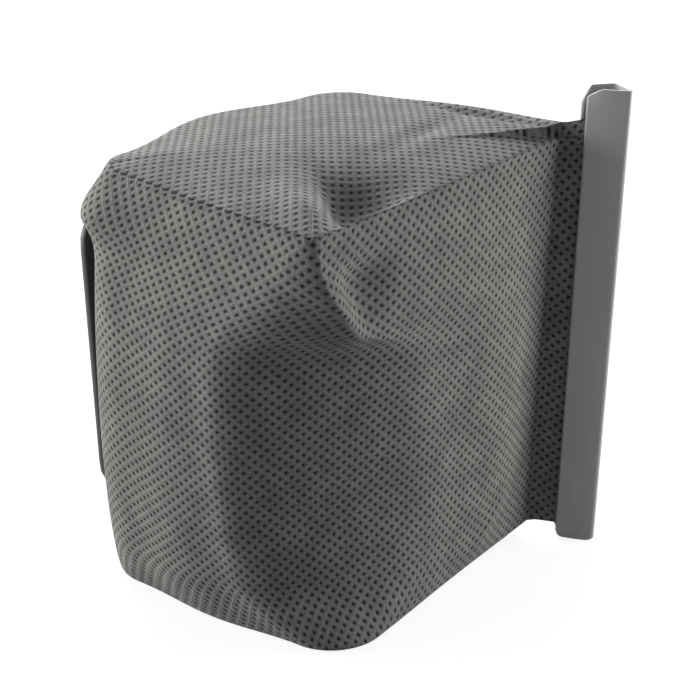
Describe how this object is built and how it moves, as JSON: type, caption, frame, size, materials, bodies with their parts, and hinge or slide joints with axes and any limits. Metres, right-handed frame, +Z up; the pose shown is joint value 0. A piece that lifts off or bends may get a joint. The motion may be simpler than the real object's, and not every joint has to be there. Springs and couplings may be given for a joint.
{
  "type": "vacuum dust bag",
  "caption": "Reusable soft dust bag for a small vacuum cleaner, with a stiff intake collar on its back and a slide-on rail that closes its emptying end.",
  "frame": {"origin": "on the surface that the bag stands on, under the middle of the whole object's box", "axes": "+X from the sewn end towards the clamped end, +Y from the front to the collar side, +Z up along the clamping rail"},
  "size_m": [0.1076, 0.0964, 0.13],
  "materials": {
    "bag_fabric": "matt point-bonded non-woven",
    "clamp_rail": "satin extruded plastic",
    "collar": "fine matt moulded plastic",
    "collar_seal": "matt thin rubber sheet"
  },
  "bodies": {
    "bag": {"bag_fabric": "bag_fabric", "collar_plate": "collar", "collar_seal": "collar_seal", "collar_backing_ring": "collar"},
    "rail": {"clamp_rail": "clamp_rail"}
  },
  "joints": [
    {"name": "rail_slide", "type": "slide", "parent": "bag", "child": "rail", "axis": [0, 0, 1], "range_m": [0, 0.125]}
  ]
}
